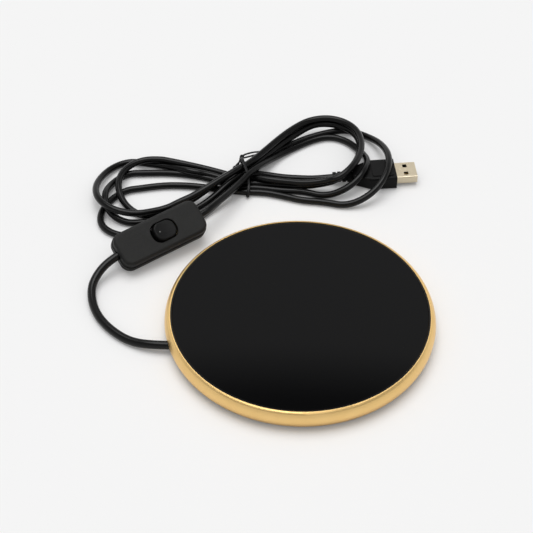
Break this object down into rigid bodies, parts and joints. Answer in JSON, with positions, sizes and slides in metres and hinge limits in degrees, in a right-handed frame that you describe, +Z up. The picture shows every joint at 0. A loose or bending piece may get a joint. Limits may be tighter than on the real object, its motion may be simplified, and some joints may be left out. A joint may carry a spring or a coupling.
{
  "type": "electric mug warmer",
  "caption": "Round electric mug warmer: black glass heating plate in a gold metal ring, in-line rocker switch, and a USB cord tied in a hank.",
  "frame": {"origin": "on the surface it stands on, under the centre of the heating plate", "axes": "+Z up out of the glass, the cord leaves the plate towards -X, the hank lies towards +Y"},
  "size_m": [0.1733, 0.2173, 0.0194],
  "materials": {
    "black_glass": "opaque black tempered glass, polished",
    "silicone": "black silicone",
    "gold_ring": "gold anodised, satin",
    "spreader": "rolled",
    "film": "amber polyimide with an etched track",
    "fibre_pad": "pressed ceramic fibre",
    "thermostat_case": "moulded",
    "fuse_barrel": "ceramic with tinned leads",
    "red_wire": "insulation",
    "white_wire": "insulation",
    "base_plastic": "fine texture",
    "screw_steel": "zinc plated",
    "foot_rubber": "matt",
    "switch_plastic": "fine texture",
    "button_plastic": "fine texture",
    "contact_brass": "rolled",
    "spring_steel": "bright",
    "cord_black": "smooth PVC",
    "tie_black": "coated wire",
    "plug_plastic": "satin",
    "plug_shell": "bright nickel",
    "tongue_black": "moulded",
    "contact_gold": "plated"
  },
  "bodies": {
    "plate_and_cord": {"glass_top": "black_glass", "glass_bond": "silicone", "rim_ring": "gold_ring", "heat_spreader": "spreader", "heating_film": "film", "insulation_pad": "fibre_pad", "thermostat": "thermostat_case", "thermal_fuse": "fuse_barrel", "lead_live": "red_wire", "lead_return": "white_wire", "fuse_link": "red_wire", "base_pan": "base_plastic", "base_screws": "screw_steel", "rubber_feet": "foot_rubber", "cord_grommet": "cord_black", "switch_upper_case": "switch_plastic", "switch_lower_case": "switch_plastic", "case_screws": "screw_steel", "centre_terminal": "contact_brass", "fixed_contact": "contact_brass", "switch_wire_in": "red_wire", "switch_wire_out": "red_wire", "switch_wire_through": "white_wire", "front_cord": "cord_black", "hank_lead": "cord_black", "cord_hank": "cord_black", "hank_tail": "cord_black", "twist_tie": "tie_black", "plug_body": "plug_plastic", "plug_strain_relief": "plug_plastic", "usb_shell": "plug_shell", "usb_tongue": "tongue_black", "usb_contacts": "contact_gold"},
    "rocker": {"rocker_button": "button_plastic", "rocker_plunger": "spring_steel", "plunger_spring": "spring_steel"},
    "seesaw": {"seesaw_contact": "contact_brass"}
  },
  "joints": [
    {"name": "rocker_tilt", "type": "hinge", "parent": "plate_and_cord", "child": "rocker", "pos_m": [-0.06807, 0.05244, 0.01251], "axis": [0.5047, -0.7151, -0.4836], "range_deg": [0, 16]},
    {"name": "contact_tilt", "type": "hinge", "parent": "plate_and_cord", "child": "seesaw", "pos_m": [-0.06912, 0.0546, 0.00823], "axis": [-0.5047, 0.7151, 0.4836], "range_deg": [0, 12]}
  ],
  "couplings": [
    {"joint": "contact_tilt", "follows": "rocker_tilt", "ratio": 0.75}
  ]
}
